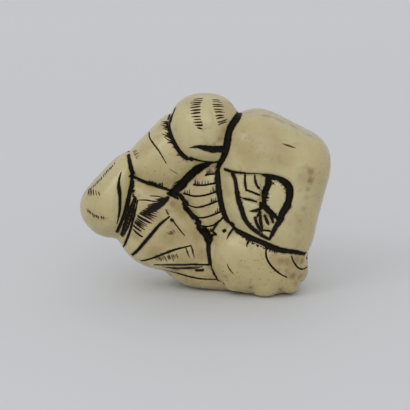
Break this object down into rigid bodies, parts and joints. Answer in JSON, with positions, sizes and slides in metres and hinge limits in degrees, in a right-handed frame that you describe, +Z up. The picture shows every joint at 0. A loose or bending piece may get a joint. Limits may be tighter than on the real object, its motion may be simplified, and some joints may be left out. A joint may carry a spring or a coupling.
{
  "type": "netsuke",
  "caption": "Netsuke: a small carved toggle of pale bone, with swelling crowded forms in front, a plainer back, and joined cord holes to hang a pouch from a sash.",
  "frame": {"origin": "on the surface it stands on, under the middle of its bounding box", "axes": "+Z up, +X along its length towards the sack, -Y out of the carved front"},
  "size_m": [0.045, 0.02, 0.036],
  "materials": {
    "bone": "polished bone, yellowed, with near-black stain in the cuts"
  },
  "bodies": {
    "root": {"carving": "bone"}
  },
  "joints": []
}
